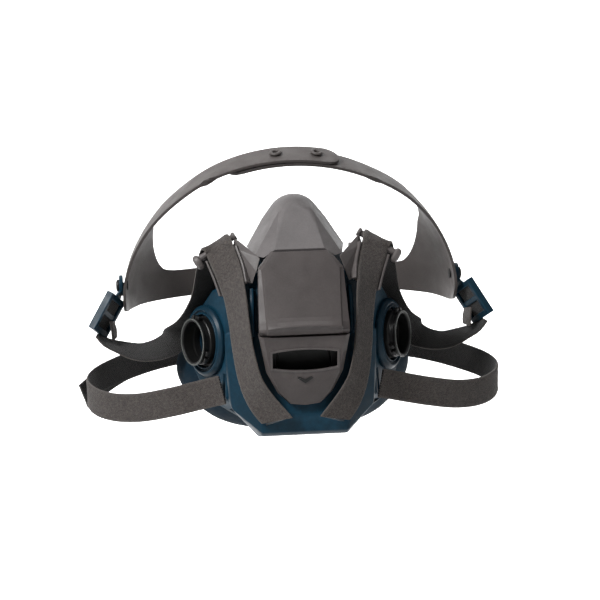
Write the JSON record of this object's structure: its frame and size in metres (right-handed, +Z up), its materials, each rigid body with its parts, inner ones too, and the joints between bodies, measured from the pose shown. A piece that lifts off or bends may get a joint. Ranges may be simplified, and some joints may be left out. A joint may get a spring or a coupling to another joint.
{
  "type": "half-face respirator",
  "caption": "Reusable half-face respirator: silicone face seal, rigid front frame with filter ports, drop-down latch, exhalation cover, head cradle and webbing harness.",
  "frame": {"origin": "centre of the face opening, level with the middle of the cheeks; the place where the wearer's face holds the mask", "axes": "+Z up, -Y the way the mask faces, +X towards the right of someone looking at its front (the wearer's left)"},
  "size_m": [0.2593, 0.1823, 0.1703],
  "materials": {
    "teal_silicone": "satin moulded silicone",
    "teal_plastic": "satin moulded nylon",
    "cone_grey": "fine matte texture",
    "cover_grey": "fine matte texture",
    "cradle_grey": "flexible matte plastic",
    "webbing": "ribbed elastic webbing",
    "black_plastic": "smooth black",
    "valve_rubber": "thin amber rubber"
  },
  "bodies": {
    "facepiece": {"buckle_left": "teal_plastic", "buckle_right": "teal_plastic", "exhale_cover": "cover_grey", "exhale_valve_seat": "black_plastic", "face_seal": "teal_silicone", "front_frame": "teal_plastic", "inhale_valve_seat_left": "black_plastic", "inhale_valve_seat_right": "black_plastic", "latch_pin_left": "black_plastic", "latch_pin_right": "black_plastic", "neck_clip_hook": "black_plastic", "neck_clip_loop": "black_plastic", "neck_strap_left": "webbing", "neck_strap_right": "webbing", "neck_strap_tail": "webbing", "nose_cone": "cone_grey", "port_bezel_left": "teal_plastic", "port_bezel_right": "teal_plastic", "port_gasket_left": "teal_silicone", "port_gasket_right": "teal_silicone", "port_tube_left": "black_plastic", "port_tube_right": "black_plastic", "upper_strap_front_left": "webbing", "upper_strap_front_right": "webbing", "upper_strap_rear_left": "webbing", "upper_strap_rear_right": "webbing", "upper_strap_tail_left": "webbing", "upper_strap_tail_right": "webbing"},
    "latch": {"latch_cover": "cover_grey", "latch_wing_left": "cover_grey", "latch_wing_right": "cover_grey"},
    "cradle": {"head_cradle": "cradle_grey", "cradle_stud_left": "black_plastic", "cradle_stud_right": "black_plastic"},
    "exhale_flap": {"exhale_valve": "valve_rubber"},
    "inhale_flap_left": {"inhale_valve_left": "valve_rubber"},
    "inhale_flap_right": {"inhale_valve_right": "valve_rubber"}
  },
  "joints": [
    {"name": "latch_hinge", "type": "hinge", "parent": "facepiece", "child": "latch", "pos_m": [0, -0.0385, 0.042], "axis": [-1, 0, 0], "range_deg": [0, 60], "deforming": ["upper_strap_front_left", "upper_strap_front_right", "upper_strap_rear_left", "upper_strap_rear_right"]},
    {"name": "cradle_tilt", "type": "hinge", "parent": "facepiece", "child": "cradle", "pos_m": [0, 0.022, 0.017], "axis": [1, 0, 0], "range_deg": [-28, 20]},
    {"name": "exhale_valve_lift", "type": "slide", "parent": "facepiece", "child": "exhale_flap", "axis": [0, -0.9903, -0.1392], "range_m": [0, 0.002], "stiffness_N_per_m": 30},
    {"name": "inhale_valve_lift_right", "type": "slide", "parent": "facepiece", "child": "inhale_flap_right", "axis": [-0.8821, 0.4685, -0.0499], "range_m": [0, 0.0015], "stiffness_N_per_m": 30},
    {"name": "inhale_valve_lift_left", "type": "slide", "parent": "facepiece", "child": "inhale_flap_left", "axis": [0.8821, 0.4685, -0.0499], "range_m": [0, 0.0015], "stiffness_N_per_m": 30}
  ]
}
